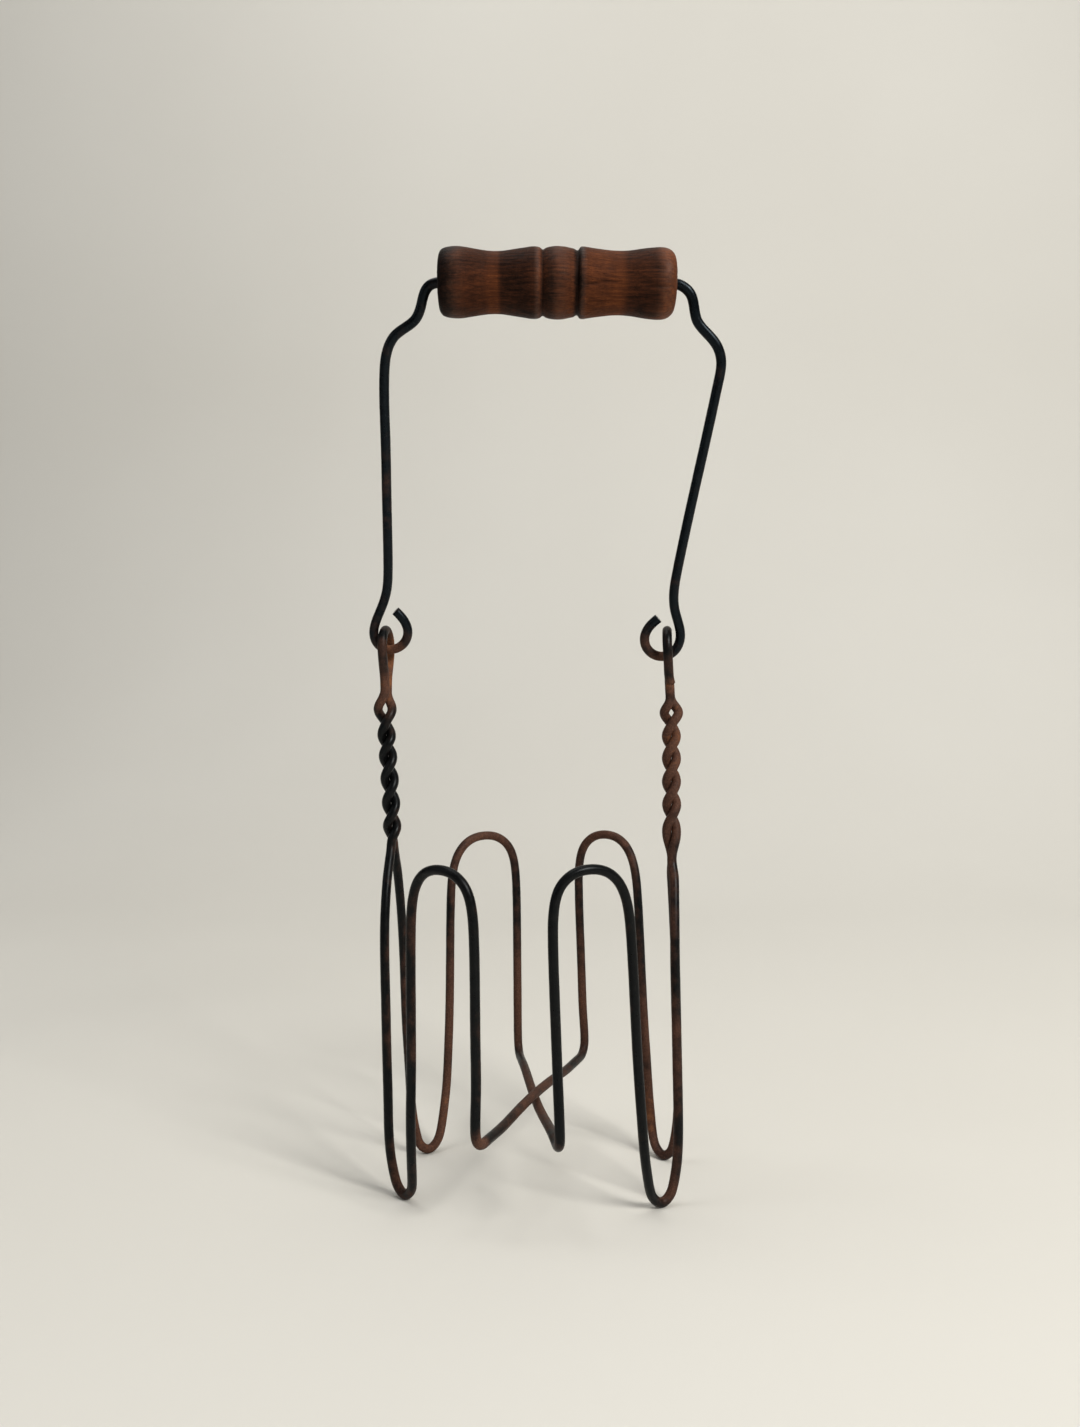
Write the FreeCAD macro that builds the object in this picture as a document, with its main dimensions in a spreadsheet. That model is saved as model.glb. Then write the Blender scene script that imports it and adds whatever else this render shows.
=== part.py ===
import FreeCAD, Part
import math
import os
import Sketcher

# Jar lifter: a basket bent from one length of round steel wire, a wire bail
# hooked into the two side eyes of the basket, and a turned wooden grip on the
# bail.  Millimetres, +Z up.  X runs from the left eye to the right eye, Y runs
# from front to back, and the origin is the centre of the four feet on the
# ground.

doc = FreeCAD.newDocument("jar_lifter")

# ---- driving sizes ------------------------------------------------------
SIZES = [
    ("wire_dia", 3.0, "diameter of both wires"),
    ("ring_radius", 44.5, "arches, centre line to the upright axis"),
    ("arch_top", 105.9, "height of the arch tops, centre line"),
    ("strand_offset", 1.56, "twisted strand, centre line to the stem axis"),
    ("loose_offset", 2.25, "same, in the open top turn of a stem"),
    ("eye_half", 5.0, "half width of an eye, centre line"),
    ("cut_gap", 0.35, "gap between the two cut ends of the basket wire"),
    ("cross_high", 27.9, "height of the upper cross wire at the middle"),
    ("cross_low", 24.5, "height of the lower cross wire at the middle"),
    ("grip_length", 67.85, "length of the grip"),
    ("grip_bore", 3.7, "bore of the grip"),
    ("grip_shoulder", 9.7, "radius at the full parts of the grip"),
    ("grip_waist", 8.57, "radius at the two waists"),
    ("grip_bead", 9.85, "radius of the centre bead"),
    ("grip_groove", 8.7, "radius at the bottom of the grooves"),
    ("grip_corner", 3.0, "round of the end corners"),
    ("groove_width", 0.95, "width of a groove"),
    ("groove_round", 0.7, "round of the groove edges"),
    ("bead_half", 4.45, "half length of the centre bead"),
    ("bead_crown", 0.22, "crown of the centre bead"),
    ("bead_shift", 0.75, "centre bead, right of the middle of the grip"),
    ("bail_lean", 17.0, "degrees the bail leans forward, at x = 12"),
    ("bail_twist", 6.05, "degrees less lean for every 100 mm to the right"),
]
sheet = doc.addObject("Spreadsheet::Sheet", "sizes")
for row, (alias, value, meaning) in enumerate(SIZES, start=1):
    sheet.set("A%d" % row, meaning)
    sheet.set("B%d" % row, repr(value))
    sheet.setAlias("B%d" % row, alias)
doc.recompute()


def size(alias):
    return float(sheet.get(alias))


# ---- basket centre line -------------------------------------------------
# Side -1 is left and +1 is right; depth -1 is front and +1 is back.
LEFT, RIGHT = -1, 1
FRONT, BACK = -1, 1

# The twisted stems.  half_turns: height, half turns left to the eye.
# axis: height, distance of the stem axis from x = 0.
HALF_TURNS = 6.0
STEMS = {
    LEFT: dict(
        half_turns=[(104.0, 6.0), (108.4, 6.0), (117.1, 5.0), (124.9, 4.0), (132.6, 3.0),
                    (139.8, 2.0), (147.0, 1.0), (158.4, 0.0), (162.0, 0.0)],
        axis=[(104.0, 45.45), (113.2, 45.35), (121.0, 45.5), (128.8, 45.75),
              (136.3, 46.1), (143.5, 46.4), (152.5, 46.7), (158.4, 46.2)],
        foot_z=108.4, loose_z=147.0,
        eye_foot_z=158.4, eye_top_z=177.85, eye_foot_x=46.2, eye_top_x=45.8),
    RIGHT: dict(
        half_turns=[(101.0, 6.0), (103.0, 6.0), (111.6, 5.5), (116.3, 5.0), (123.8, 4.0),
                    (131.1, 3.0), (138.4, 2.0), (145.3, 1.0), (154.4, 0.0), (158.0, 0.0)],
        axis=[(98.0, 44.75), (112.5, 44.85), (120.0, 45.05), (127.3, 45.15),
              (134.9, 45.3), (141.8, 45.4), (150.0, 45.55), (154.4, 45.3)],
        foot_z=103.0, loose_z=145.3,
        eye_foot_z=154.4, eye_top_z=175.0, eye_foot_x=45.3, eye_top_x=44.75),
}
STRAND_STEP = 1.2       # height between points on a strand, about
EYE_X_RATE = 1.25       # an eye reaches its top x at 1 / 1.25 of its height

# Outer legs, from the stem down: x, y, z, and x added towards the back
# (taken off towards the front).
LEGS = {
    LEFT: [
        (45.5, 3.4, 104.2, 0.0), (45.6, 5.9, 99.8, 0.0), (45.7, 8.4, 93.5, 0.0),
        (45.75, 10.6, 85.0, 0.0), (45.7, 12.0, 74.0, 0.0), (45.6, 12.5, 60.0, 0.0),
        (45.5, 13.1, 44.0, 0.0), (45.2, 14.1, 30.0, 0.0)],
    RIGHT: [
        (44.9, 3.2, 98.9, -0.35), (45.0, 5.5, 94.4, -0.4), (45.05, 7.9, 88.4, -0.3),
        (45.1, 10.3, 80.0, -0.15), (45.15, 11.9, 69.5, 0.0), (45.2, 12.6, 57.0, 0.0),
        (45.2, 13.2, 43.0, 0.0), (45.2, 14.1, 30.0, 0.0)],
}
# Foot, round the bottom and up the inner side: x, y, z
FOOT = [
    (45.0, 14.9, 19.5), (44.35, 15.3, 11.8), (43.35, 15.5, 6.4), (42.3, 15.9, 3.4),
    (39.85, 17.4, 1.5), (37.4, 19.4, 3.4), (36.35, 21.4, 6.8), (35.75, 23.8, 12.2),
    (35.2, 26.2, 19.0)]
# Arch on the ring radius: degrees from the X axis, z
ARCH = [
    (38.7, 28.0), (40.0, 41.0), (41.1, 57.0), (41.9, 73.0), (42.8, 86.0), (44.6, 95.4),
    (48.2, 101.2), (53.7, 104.7), (60.5, 105.9), (67.2, 104.9), (72.0, 101.6), (74.6, 95.6),
    (75.3, 87.0), (75.2, 72.0), (74.9, 56.0), (74.6, 42.0)]
ARCH_TABLE_TOP = 105.9              # arch top as listed above
ARCH_FIXED_Z, ARCH_BLEND = 60.0, 30.0   # a new arch top is blended in above this z
# Bend from the arch into the cross wire: x, y, z
CROSS_BEND = [(12.05, 43.75, 33.0), (11.9, 43.2, 29.4), (11.3, 41.0, 27.3), (10.1, 36.6, 26.7)]

# Cross wire: fractions of the reach from the centre, front to back
CROSS_STATIONS = (-0.62, -0.34, 0.0, 0.34, 0.62)
CROSS_END = CROSS_STATIONS[-1]
CROSS_REACH_X, CROSS_REACH_Y = 12.1, 43.9
CROSS_END_Z = 26.6
CROSS_RATE = 1.25       # makes the height level off just short of the middle

# The two cut ends meet on the front of the right eye.
CUT_Z = 158.0
CUT_CLEAR = 0.6         # eye points this close above the upper end are left out
UPPER_END_DX, UPPER_END_Y = 0.35, -1.75
LOWER_END_DX, LOWER_END_Y = 0.02, -1.62
BELOW_CUT = (45.24, -1.58, 156.2)


def look_up(rows, x):
    """Monotone cubic (Fritsch-Carlson) look-up in rows of (x, y), x rising."""
    if x <= rows[0][0]:
        return rows[0][1]
    if x >= rows[-1][0]:
        return rows[-1][1]
    rise = [(y1 - y0) / (x1 - x0) for (x0, y0), (x1, y1) in zip(rows, rows[1:])]
    inner = [0.0 if a * b <= 0 else 2 * a * b / (a + b) for a, b in zip(rise, rise[1:])]
    slope = [rise[0]] + inner + [rise[-1]]
    i = next(k for k in range(len(rise)) if x <= rows[k + 1][0])
    span = rows[i + 1][0] - rows[i][0]
    part = (x - rows[i][0]) / span
    return ((1 + 2 * part) * (1 - part) ** 2 * rows[i][1]
            + part * (1 - part) ** 2 * span * slope[i]
            + part * part * (3 - 2 * part) * rows[i + 1][1]
            + part * part * (part - 1) * span * slope[i + 1])


def backwards(points):
    return list(reversed(points))


def strand(side, depth):
    """One strand of a twisted stem, from the bottom up."""
    stem = STEMS[side]
    tight, loose = size("strand_offset"), size("loose_offset")
    bottom, top, loose_z = stem["foot_z"], stem["eye_foot_z"], stem["loose_z"]
    count = int(round((top - bottom) / STRAND_STEP))
    points = []
    for i in range(count + 1):
        z = bottom + (top - bottom) * i / count
        turned = math.pi * (HALF_TURNS - look_up(stem["half_turns"], z))
        offset = tight
        if loose_z < z < top:
            swell = math.sin(math.pi * (z - loose_z) / (top - loose_z)) ** 2
            offset = tight + (loose - tight) * swell
        angle = depth * 0.5 * math.pi + turned
        x = side * look_up(stem["axis"], z)
        points.append((x + offset * math.cos(angle), offset * math.sin(angle), z))
    return points


def eye_x(stem, part):
    """Distance of an eye from x = 0, at a fraction of its height."""
    drift = stem["eye_top_x"] - stem["eye_foot_x"]
    return stem["eye_foot_x"] + drift * min(1.0, part * EYE_X_RATE)


def eye(side):
    """Front half of an eye up to its top, and back half down from there."""
    stem = STEMS[side]
    offset = size("strand_offset")
    # fraction of the eye height, half width
    widths = [(0.0, offset), (0.07, offset + 0.03), (0.17, offset + 0.25), (0.30, 2.6),
              (0.44, 3.75), (0.58, 4.65), (0.70, size("eye_half")), (0.80, 4.75),
              (0.89, 3.9), (0.96, 2.45)]
    height = stem["eye_top_z"] - stem["eye_foot_z"]
    front = [(side * eye_x(stem, part), -width, stem["eye_foot_z"] + part * height)
             for part, width in widths]
    back = [(x, -y, z) for x, y, z in reversed(front)]
    return front + [(side * stem["eye_top_x"], 0.0, stem["eye_top_z"])], back


def quarter(side, depth):
    """Outer leg, foot, arch and inner leg of one corner, from the stem down
    and round to the start of the cross wire."""
    ring = size("ring_radius")
    lift = size("arch_top") - ARCH_TABLE_TOP
    points = [(x + skew * depth, y, z) for x, y, z, skew in LEGS[side]] + FOOT
    for degrees, z in ARCH:
        angle = math.radians(degrees)
        share = min(1.0, max(0.0, (z - ARCH_FIXED_Z) / ARCH_BLEND))
        points.append((ring * math.cos(angle), ring * math.sin(angle), z + lift * share))
    return [(side * x, depth * y, z) for x, y, z in points + CROSS_BEND]


def cross(side, middle_z):
    """Cross wire from the front corner on this side to the opposite back corner."""
    points = []
    for station in CROSS_STATIONS:
        inward = min(1.0, (1.0 - abs(station) / CROSS_END) * CROSS_RATE)
        z = CROSS_END_Z + (middle_z - CROSS_END_Z) * (0.5 - 0.5 * math.cos(math.pi * inward))
        points.append((side * -station * CROSS_REACH_X, station * CROSS_REACH_Y, z))
    return points


def cage_path():
    """The whole basket wire from one cut end to the other."""
    stem = STEMS[RIGHT]
    eye_height = stem["eye_top_z"] - stem["eye_foot_z"]
    cut_x = eye_x(stem, (CUT_Z - stem["eye_foot_z"]) / eye_height)
    upper_z = CUT_Z + size("cut_gap")
    right_front, right_back = eye(RIGHT)
    left_front, left_back = eye(LEFT)
    # Where an eye meets a strand, the shared point is listed once.
    return (
        # over the right eye and down to the back right foot
        [(cut_x + UPPER_END_DX, UPPER_END_Y, upper_z)]
        + [point for point in right_front if point[2] > upper_z + CUT_CLEAR]
        + right_back[:-1]
        + backwards(strand(RIGHT, BACK))
        + quarter(RIGHT, BACK)
        # across to the front left foot, up and over the left eye
        + backwards(cross(LEFT, size("cross_high")))
        + backwards(quarter(LEFT, FRONT))
        + strand(LEFT, FRONT)[:-1]
        + left_front + left_back[:-1]
        + backwards(strand(LEFT, BACK))
        + quarter(LEFT, BACK)
        # across to the front right foot and up to the cut
        + backwards(cross(RIGHT, size("cross_low")))
        + backwards(quarter(RIGHT, FRONT))
        + strand(RIGHT, FRONT)
        + [BELOW_CUT, (cut_x + LOWER_END_DX, LOWER_END_Y, CUT_Z)])


# ---- bail centre line ---------------------------------------------------
# Listed flat: x across, and height up the arm from the hinge line.
# Each arm leans forward; the left arm leans a little more than the right one.
HINGE_Z = 169.5             # hinge line at x = 0
HINGE_SLOPE = -0.048455     # its rise for every mm to the right
LEAN_X = 12.0               # where the lean is bail_lean
GRIP_LEFT = (-18.19, 110.68)
GRIP_RIGHT = (49.19, 109.66)
GRIP_STATIONS = (0.0, 0.02, 0.07, 0.16, 0.3, 0.5, 0.7, 0.84, 0.93, 0.98, 1.0)

# Left hook tip, hook and arm, up to the grip
BAIL_LEFT = [
    (-41.29, 12.84), (-38.89, 9.67), (-38.05, 6.1), (-39.5, 2.39), (-42.68, 0.19),
    (-46.1, 0.02), (-48.62, 1.93), (-49.3, 5.24), (-48.0, 9.55), (-45.58, 14.28),
    (-43.44, 19.55), (-42.33, 25.52), (-41.35, 34.95), (-39.95, 50.42), (-38.44, 67.26),
    (-37.4, 79.96), (-36.55, 86.64), (-35.2, 92.04), (-32.45, 96.32), (-28.99, 98.63),
    (-26.08, 100.73), (-24.27, 103.72), (-23.06, 107.18), (-21.3, 109.72)]
# Right arm and hook, from the grip down to the hook tip
BAIL_RIGHT = [
    (51.77, 108.7), (53.72, 106.63), (54.57, 103.33), (55.34, 99.66), (58.08, 96.16),
    (60.93, 92.72), (62.2, 88.56), (61.41, 82.71), (59.78, 75.68), (55.71, 58.55),
    (51.45, 40.71), (48.36, 27.0), (47.14, 20.01), (47.24, 14.81), (48.44, 9.83),
    (48.84, 5.99), (47.45, 2.05), (44.3, -0.26), (40.9, -0.12), (38.21, 2.31),
    (37.74, 5.76), (39.35, 9.09), (42.09, 11.65)]


def lean(x, height):
    """Place a flat bail point: x across, height up the arm from the hinge line."""
    angle = math.radians(size("bail_lean") - size("bail_twist") * (x - LEAN_X) / 100.0)
    return (x, -height * math.sin(angle),
            HINGE_Z + HINGE_SLOPE * x + height * math.cos(angle))


def bail_path(left_end, right_end):
    """Left hook and arm, the straight run through the grip, right arm and hook."""
    run = [tuple(a + (b - a) * part for a, b in zip(left_end, right_end))
           for part in GRIP_STATIONS]
    return [lean(*point) for point in BAIL_LEFT] + run + [lean(*point) for point in BAIL_RIGHT]


# ---- wires --------------------------------------------------------------
def add_line(name, points, pieces):
    """One smooth curve through the points, kept as a row of edges."""
    curve = Part.BSplineCurve()
    curve.interpolate(Points=[FreeCAD.Vector(*point) for point in points])
    first, last = curve.FirstParameter, curve.LastParameter
    cuts = [first + (last - first) * k / pieces for k in range(pieces + 1)]
    line = doc.addObject("Part::Feature", name)
    line.Shape = Part.Wire([curve.toShape(a, b) for a, b in zip(cuts, cuts[1:])])
    return line


def line_start(line):
    """First point of a line and its direction there."""
    edge = line.Shape.Edges[0]
    return edge.valueAt(edge.FirstParameter), edge.tangentAt(edge.FirstParameter)


def make_cage(line):
    """Basket: one wire, swept along its bent centre line."""
    section = doc.addObject("Part::Circle", "cage_section")
    section.setExpression("Radius", "sizes.wire_dia / 2")
    tip, heading = line_start(line)
    turn = FreeCAD.Rotation(FreeCAD.Vector(0, 0, 1), heading)
    section.Placement = FreeCAD.Placement(tip, turn)
    doc.recompute()

    cage = doc.addObject("Part::Sweep", "cage_wire")
    cage.Sections = [section]
    cage.Spine = (line, ["Edge%d" % (i + 1) for i in range(len(line.Shape.Edges))])
    cage.Solid = True
    cage.Frenet = True
    cage.Transition = "Transformed"
    doc.recompute()
    return cage


def make_bail(line):
    """Bail: one wire with a hook at each end.

    The arms lean unequally, so the bail is slightly out of plane.  Its round
    section is carried with one fixed direction, square to the mean lean,
    which keeps the straight run through the grip free of twist.
    """
    tip, heading = line_start(line)
    angle = math.radians(size("bail_lean"))
    section = Part.Circle(tip, heading, size("wire_dia") / 2)
    pipe = Part.BRepOffsetAPI.MakePipeShell(line.Shape)
    pipe.setBiNormalMode(FreeCAD.Vector(0, -math.cos(angle), -math.sin(angle)))
    pipe.add(Part.Wire([Part.Edge(section)]), False, False)
    pipe.build()
    pipe.makeSolid()
    bail = doc.addObject("Part::Feature", "bail_wire")
    bail.Shape = pipe.shape()
    doc.recompute()
    return bail


# ---- grip: turned from wood, bored along its axis -----------------------
# What joins each corner of the half profile to the next, from the end inward
HALF_LINKS = ["line", "corner", "waist", "edge", "line", "line", "line", "edge"]
FIRST_SHIFTED = 3       # from this corner inward the profile moves with the bead

# Radius of each kind of arc; a waist takes + on the left and - on the right.
RADIUS_RULES = {
    "corner": "sizes.grip_corner",
    "edge": "sizes.groove_round",
    "waist": "(pow(sizes.grip_length / 2 - sizes.grip_corner - sizes.bead_half"
             " - sizes.groove_width - sizes.groove_round %s sizes.bead_shift; 2) / 4"
             " + pow(sizes.grip_shoulder - sizes.grip_waist; 2))"
             " / (2 * (sizes.grip_shoulder - sizes.grip_waist))",
    "crown": "(pow(2 * (sizes.bead_half - sizes.groove_round); 2) / 4"
             " + pow(sizes.bead_crown; 2)) / (2 * sizes.bead_crown)",
}


def grip_corners():
    """Profile corners, left to right: x, y, and the expressions that drive them."""
    end = size("grip_length") / 2
    shoulder, groove = size("grip_shoulder"), size("grip_groove")
    corner, rounding = size("grip_corner"), size("groove_round")
    bead = size("bead_half")
    wall = bead + size("groove_width")
    crown_edge = size("grip_bead") - size("bead_crown")
    end_rule = "sizes.grip_length / 2"
    wall_rule = "sizes.bead_half + sizes.groove_width"
    crown_rule = "sizes.grip_bead - sizes.bead_crown"
    # distance from the middle, radius, and the expression for each
    half = [
        (end, size("grip_bore") / 2, end_rule, "sizes.grip_bore / 2"),
        (end, shoulder - corner, end_rule, "sizes.grip_shoulder - sizes.grip_corner"),
        (end - corner, shoulder, end_rule + " - sizes.grip_corner", "sizes.grip_shoulder"),
        (wall + rounding, shoulder, wall_rule + " + sizes.groove_round", "sizes.grip_shoulder"),
        (wall, shoulder - rounding, wall_rule, "sizes.grip_shoulder - sizes.groove_round"),
        (wall, groove, wall_rule, "sizes.grip_groove"),
        (bead, groove, "sizes.bead_half", "sizes.grip_groove"),
        (bead, crown_edge - rounding, "sizes.bead_half", crown_rule + " - sizes.groove_round"),
        (bead - rounding, crown_edge, "sizes.bead_half - sizes.groove_round", crown_rule),
    ]

    def placed(side):
        rows = []
        for i, (reach, radius, reach_rule, radius_rule) in enumerate(half):
            x = side * reach
            x_rule = "-1 * (%s)" % reach_rule if side == LEFT else reach_rule
            if i >= FIRST_SHIFTED:
                x += size("bead_shift")
                x_rule += " + sizes.bead_shift"
            rows.append((x, radius, x_rule, radius_rule))
        return rows

    return placed(LEFT) + backwards(placed(RIGHT))


def sagged_arc(start, end, sag):
    """Arc whose middle is off the chord by sag, outward when positive.
    Returned counter-clockwise, with True when it starts at start."""
    dx, dy = end[0] - start[0], end[1] - start[1]
    chord = math.hypot(dx, dy)
    radius = (chord * chord / 4 + sag * sag) / (2 * abs(sag))
    offset = (radius - abs(sag)) * (-1 if sag > 0 else 1)
    centre_x = (start[0] + end[0]) / 2 - dy / chord * offset
    centre_y = (start[1] + end[1]) / 2 + dx / chord * offset
    forward = sag < 0
    first, last = (start, end) if forward else (end, start)
    angle0 = math.atan2(first[1] - centre_y, first[0] - centre_x)
    angle1 = math.atan2(last[1] - centre_y, last[0] - centre_x)
    if angle1 < angle0:
        angle1 += 2 * math.pi
    centre = FreeCAD.Vector(centre_x, centre_y, 0)
    circle = Part.Circle(centre, FreeCAD.Vector(0, 0, 1), radius)
    return Part.ArcOfCircle(circle, angle0, angle1), forward


def drive(sketch, name, constraint, rule):
    """Add a named constraint bound to an expression."""
    index = sketch.addConstraint(constraint)
    sketch.renameConstraint(index, name)
    sketch.setExpression("Constraints." + name, rule)


def draw_grip_profile(sketch):
    corners = grip_corners()
    links = HALF_LINKS + ["crown"] + backwards(HALF_LINKS) + ["line"]
    quarter_sag = 1 - math.sqrt(0.5)    # sag of a quarter circle of radius 1
    sags = {
        "corner": size("grip_corner") * quarter_sag,
        "edge": size("groove_round") * quarter_sag,
        "waist": size("grip_waist") - size("grip_shoulder"),
        "crown": size("bead_crown"),
    }
    count = len(corners)
    ends = []       # sketch point numbers of each link's start and end
    for i, kind in enumerate(links):
        start, end = corners[i][:2], corners[(i + 1) % count][:2]
        if kind == "line":
            shape = Part.LineSegment(FreeCAD.Vector(*start, 0), FreeCAD.Vector(*end, 0))
            forward = True
        else:
            shape, forward = sagged_arc(start, end, sags[kind])
        sketch.addGeometry(shape, False)
        ends.append((1, 2) if forward else (2, 1))
    for i in range(count):
        j = (i + 1) % count
        sketch.addConstraint(Sketcher.Constraint("Coincident", i, ends[i][1], j, ends[j][0]))
    for i, (x, y, x_rule, y_rule) in enumerate(corners):
        point = ends[i][0]
        drive(sketch, "px%d" % i, Sketcher.Constraint("DistanceX", -1, 1, i, point, x), x_rule)
        drive(sketch, "py%d" % i, Sketcher.Constraint("DistanceY", -1, 1, i, point, y), y_rule)
    for i, kind in enumerate(links):
        if kind == "line":
            continue
        rule = RADIUS_RULES[kind]
        if kind == "waist":
            rule = rule % ("+" if i < count // 2 else "-")
        radius = sketch.Geometry[i].Radius
        drive(sketch, "r%d" % i, Sketcher.Constraint("Radius", i, radius), rule)


def make_grip(left_end, right_end):
    """Grip, centred between two points of the bail and in line with them."""
    grip = doc.addObject("PartDesign::Body", "grip_body")
    grip.Label = "wood_grip"
    profile = grip.newObject("Sketcher::SketchObject", "grip_profile")
    plane = next(f for f in grip.Origin.OriginFeatures if f.Role == "XZ_Plane")
    profile.AttachmentSupport = [(plane, "")]
    profile.MapMode = "FlatFace"
    draw_grip_profile(profile)
    doc.recompute()

    turned = grip.newObject("PartDesign::Revolution", "grip_turn")
    turned.Profile = profile
    turned.ReferenceAxis = (profile, ["H_Axis"])
    turned.Angle = 360.0
    doc.recompute()
    grip.Tip = turned
    left, right = FreeCAD.Vector(*left_end), FreeCAD.Vector(*right_end)
    along = FreeCAD.Rotation(FreeCAD.Vector(1, 0, 0), right - left)
    grip.Placement = FreeCAD.Placement((left + right) * 0.5, along)
    doc.recompute()
    return grip


# ---- build --------------------------------------------------------------
cage_line = add_line("cage_line", cage_path(), 42)
cage = make_cage(cage_line)
grip_ends = lean(*GRIP_LEFT), lean(*GRIP_RIGHT)
bail_line = add_line("bail_line", bail_path(*grip_ends), 12)
bail = make_bail(bail_line)
grip = make_grip(*grip_ends)

# ---- checks and files ---------------------------------------------------
for obj in doc.Objects:
    if "Invalid" in obj.State or "Error" in obj.State:
        raise RuntimeError("failed: %s %s" % (obj.Name, obj.State))

PARTS = [cage, bail, grip]
for obj in PARTS:
    shape = obj.Shape
    if shape.isNull() or not shape.isValid() or len(shape.Solids) != 1:
        raise RuntimeError("bad shape: " + obj.Label)

# A sound sweep has the volume of a straight wire of the same length.
for wire, line in ((cage, cage_line), (bail, bail_line)):
    length = sum(edge.Length for edge in line.Shape.Edges)
    expected = math.pi * (size("wire_dia") / 2) ** 2 * length
    if abs(wire.Shape.Volume - expected) > 0.01 * expected:
        raise RuntimeError("%s volume %.1f, expected %.1f"
                           % (wire.Label, wire.Shape.Volume, expected))

os.makedirs("parts", exist_ok=True)
for obj in PARTS:
    obj.Shape.exportStep("parts/%s.step" % obj.Label)
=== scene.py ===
# A wire basket form with a swinging bail and a turned wooden grip.
# The cage is one bent wire: four corners of legs and arches, two wires crossing near
# the floor, and a twisted stem with an eye at each side. The bail hooks into the eyes.
# It stands on z = 0 with its stems at -x (left) and +x (right); the front is -y.
# Sizes are in mm unless a comment says metres.
import math
import bpy
import numpy as np
from mathutils import Matrix, Vector, noise


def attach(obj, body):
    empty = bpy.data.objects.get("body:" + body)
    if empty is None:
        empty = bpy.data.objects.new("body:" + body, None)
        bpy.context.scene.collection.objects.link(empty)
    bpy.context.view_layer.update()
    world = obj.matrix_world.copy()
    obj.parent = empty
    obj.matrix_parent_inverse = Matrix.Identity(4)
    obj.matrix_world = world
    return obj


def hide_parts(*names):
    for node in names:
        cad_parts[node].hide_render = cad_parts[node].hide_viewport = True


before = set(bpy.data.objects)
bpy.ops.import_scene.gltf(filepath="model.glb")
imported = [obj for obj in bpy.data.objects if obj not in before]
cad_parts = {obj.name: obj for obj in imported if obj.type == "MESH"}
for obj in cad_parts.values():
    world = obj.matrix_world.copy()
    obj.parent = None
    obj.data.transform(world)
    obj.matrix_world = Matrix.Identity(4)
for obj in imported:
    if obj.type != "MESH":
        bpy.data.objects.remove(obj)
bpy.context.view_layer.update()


MM = 0.001                # metres in a millimetre
LEFT, RIGHT = -1, 1       # sign of x
FRONT, BACK = -1, 1       # sign of y
WIRE_RADIUS = 1.5


# ---- curves ---------------------------------------------------------------
def spline(points, step):
    """Points about a step apart on a natural cubic, its knots spaced by chord length."""
    points = np.array(points)
    n = len(points)
    knots = [0.0]
    for a, b in zip(points, points[1:]):
        knots.append(knots[-1] + max(1e-6, math.dist(a, b)))
    spans = [b - a for a, b in zip(knots, knots[1:])]
    # tridiagonal system for the second derivatives, which are zero at both ends
    below, diagonal, above = [0.0] * n, [1.0] * n, [0.0] * n
    bend = np.zeros((n, 3))
    for i in range(1, n - 1):
        below[i] = spans[i - 1]
        diagonal[i] = 2 * (spans[i - 1] + spans[i])
        above[i] = spans[i]
        bend[i] = 6 * ((points[i + 1] - points[i]) / spans[i]
                       - (points[i] - points[i - 1]) / spans[i - 1])
    for i in range(1, n):
        factor = below[i] / diagonal[i - 1]
        diagonal[i] -= factor * above[i - 1]
        bend[i] -= factor * bend[i - 1]
    bend[-1] = bend[-1] / diagonal[-1]
    for i in range(n - 2, -1, -1):
        bend[i] = (bend[i] - above[i] * bend[i + 1]) / diagonal[i]
    out = []
    for i, span in enumerate(spans):
        parts = max(1, int(math.ceil(span / step)))
        for j in range(parts):
            s = span * j / parts
            out.append(bend[i] * (span - s) ** 3 / (6 * span) + bend[i + 1] * s ** 3 / (6 * span)
                       + (points[i] / span - bend[i] * span / 6) * (span - s)
                       + (points[i + 1] / span - bend[i + 1] * span / 6) * s)
    out.append(points[-1])
    return np.array(out)


def lookup(rows, x):
    """Monotone cubic (Fritsch-Carlson) look-up in rows of (x, y), x rising."""
    if x <= rows[0][0]:
        return rows[0][1]
    if x >= rows[-1][0]:
        return rows[-1][1]
    rises = [(y1 - y0) / (x1 - x0) for (x0, y0), (x1, y1) in zip(rows, rows[1:])]
    slopes = [0.0 if a * b <= 0 else 2 * a * b / (a + b) for a, b in zip(rises, rises[1:])]
    slopes = [rises[0]] + slopes + [rises[-1]]
    i = next(k for k in range(len(rises)) if x <= rows[k + 1][0])
    (x0, y0), (x1, y1) = rows[i], rows[i + 1]
    width = x1 - x0
    s = (x - x0) / width
    return ((1 + 2 * s) * (1 - s) ** 2 * y0 + s * (1 - s) ** 2 * width * slopes[i]
            + s * s * (3 - 2 * s) * y1 + s * s * (s - 1) * width * slopes[i + 1])


# ---- cage centre line -----------------------------------------------------
STRAND_OFFSET = 1.505     # strand centre from the stem's axis
LOOSE_OFFSET = 2.25       # the same, where the top of the twist opens
STRAND_STEP = 1.2
EYE_HALF = 5.0

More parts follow.
